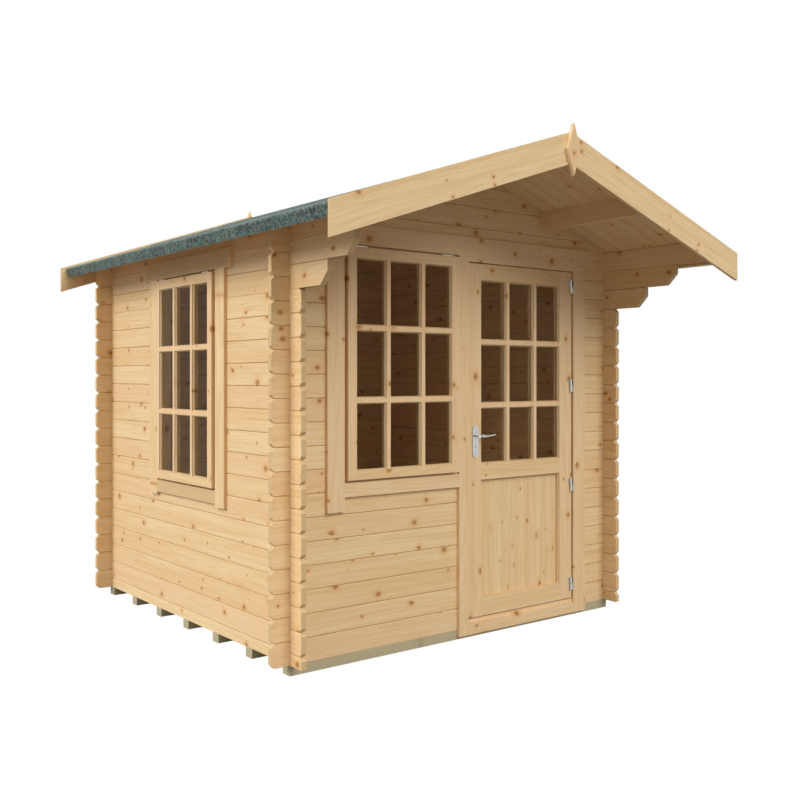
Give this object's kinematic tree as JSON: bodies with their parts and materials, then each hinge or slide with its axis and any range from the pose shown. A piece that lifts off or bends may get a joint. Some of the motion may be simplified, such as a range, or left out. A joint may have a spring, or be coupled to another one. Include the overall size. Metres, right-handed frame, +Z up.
{
  "type": "log cabin",
  "caption": "Small pine log cabin with a gabled felt roof, front canopy on stepped corbels, part-glazed door and multi-pane windows, on timber bearers",
  "frame": {"origin": "centre of the footprint's bounding box, at ground level under the bearers", "axes": "+Z up, front with the door towards -Y, side window on the -X wall"},
  "size_m": [2.764, 3.205, 2.6232],
  "materials": {
    "log_pine": "planed, untreated",
    "planed_pine": "planed, untreated",
    "roof_pine": "planed, untreated",
    "floor_pine": "planed, untreated",
    "treated_pine": "sawn, pressure treated green",
    "roofing_felt": "mineral-faced, green",
    "window_glass": "clear",
    "hinge_steel": "zinc plated",
    "handle_metal": "satin anodised"
  },
  "bodies": {
    "cabin": {"floor_bearers": "treated_pine", "floor_boards": "floor_pine", "front_wall_left": "log_pine", "front_wall_below_window": "log_pine", "front_wall_right": "log_pine", "front_gable": "log_pine", "back_wall": "log_pine", "back_gable": "log_pine", "left_wall_base": "log_pine", "left_wall_front": "log_pine", "left_wall_rear": "log_pine", "left_corbel_logs": "log_pine", "right_wall": "log_pine", "right_corbel_logs": "log_pine", "wall_plates": "log_pine", "purlins": "roof_pine", "ridge_beam": "roof_pine", "roof_boards_left": "roof_pine", "roof_boards_right": "roof_pine", "eave_battens": "roof_pine", "roof_felt_left": "roofing_felt", "roof_felt_right": "roofing_felt", "barge_front_left": "planed_pine", "barge_front_right": "planed_pine", "barge_rear_left": "planed_pine", "barge_rear_right": "planed_pine", "finials": "planed_pine", "frame_posts": "planed_pine", "frame_rails": "planed_pine", "trim_uprights": "planed_pine", "trim_rails": "planed_pine", "threshold": "planed_pine", "front_sash": "planed_pine", "side_sash": "planed_pine", "front_glass": "window_glass", "side_glass": "window_glass", "window_hinges": "hinge_steel", "door_hinges_fixed": "hinge_steel"},
    "door": {"door_leaf": "planed_pine", "door_panel": "planed_pine", "door_glass": "window_glass", "door_hinges_moving": "hinge_steel", "handle_plates": "handle_metal"},
    "handle": {"outer_lever": "handle_metal", "inner_lever": "handle_metal"}
  },
  "joints": [
    {"name": "door_swing", "type": "hinge", "parent": "cabin", "child": "door", "pos_m": [0.792, -0.8535, 0.102], "axis": [0, 0, 1], "range_deg": [0, 115]},
    {"name": "handle_turn", "type": "hinge", "parent": "door", "child": "handle", "pos_m": [0.04, -0.8465, 1.088], "axis": [0, 1, 0], "range_deg": [0, 40], "stiffness_Nm_per_rad": 1.2, "springref_deg": -14.32}
  ]
}
